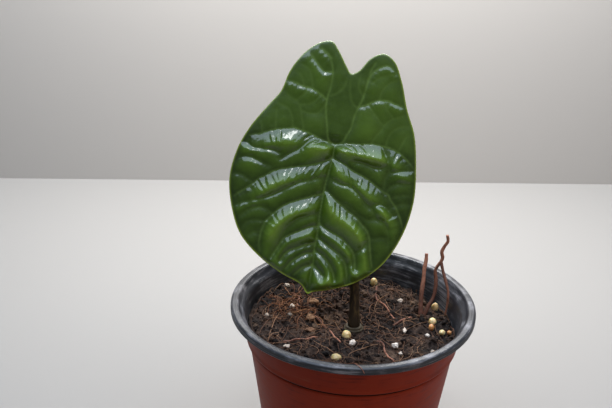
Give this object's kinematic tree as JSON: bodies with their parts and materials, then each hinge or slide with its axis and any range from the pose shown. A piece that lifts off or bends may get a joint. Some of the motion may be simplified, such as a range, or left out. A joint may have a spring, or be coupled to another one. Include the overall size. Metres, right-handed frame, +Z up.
{
  "type": "potted alocasia",
  "caption": "Young alocasia with one quilted heart-shaped leaf, in a round tapered nursery pot filled with potting mix",
  "frame": {"origin": "middle of the pot's flat base, on the surface it stands on", "axes": "+Z up along the pot's axis; the leaf's upper face looks towards -Y and its tip hangs in front of the petiole"},
  "size_m": [0.1117, 0.11, 0.2056],
  "materials": {
    "pot_plastic": "thermoformed two-layer polystyrene sheet, black inside and on the rolled rim, terracotta red outside",
    "potting_mix": "dark peat and coir with loose fibres",
    "leaf": "glossy quilted leaf with a thin paler margin",
    "petiole": "smooth fleshy stalk, darker towards its foot",
    "stem": "short rhizome with dry leaf-scar skin",
    "dry_root": "dried pinkish brown root",
    "prill": "resin-coated slow-release fertiliser bead",
    "perlite": "expanded perlite, light and porous, dusted with mix",
    "bark": "weathered bark chip"
  },
  "bodies": {
    "root": {"nursery_pot": "pot_plastic", "potting_mix": "potting_mix", "leaf_blade": "leaf", "petiole": "petiole", "stem_base": "stem", "dry_root_short": "dry_root", "dry_root_forked": "dry_root", "lying_root_1": "dry_root", "lying_root_2": "dry_root", "lying_root_3": "dry_root", "lying_root_4": "dry_root", "lying_root_5": "dry_root", "lying_root_6": "dry_root", "fertiliser_prill_1": "prill", "fertiliser_prill_2": "prill", "fertiliser_prill_3": "prill", "fertiliser_prill_4": "prill", "fertiliser_prill_5": "prill", "fertiliser_prill_6": "prill", "fertiliser_prill_7": "prill", "fertiliser_prill_8": "prill", "perlite_grain_1": "perlite", "perlite_grain_2": "perlite", "perlite_grain_3": "perlite", "perlite_grain_4": "perlite", "perlite_grain_5": "perlite", "perlite_grain_6": "perlite", "perlite_grain_7": "perlite", "perlite_grain_8": "perlite", "perlite_grain_9": "perlite", "perlite_grain_10": "perlite", "perlite_grain_11": "perlite", "perlite_grain_12": "perlite", "bark_chip_1": "bark", "bark_chip_2": "bark", "bark_chip_3": "bark", "bark_chip_4": "bark"}
  },
  "joints": []
}
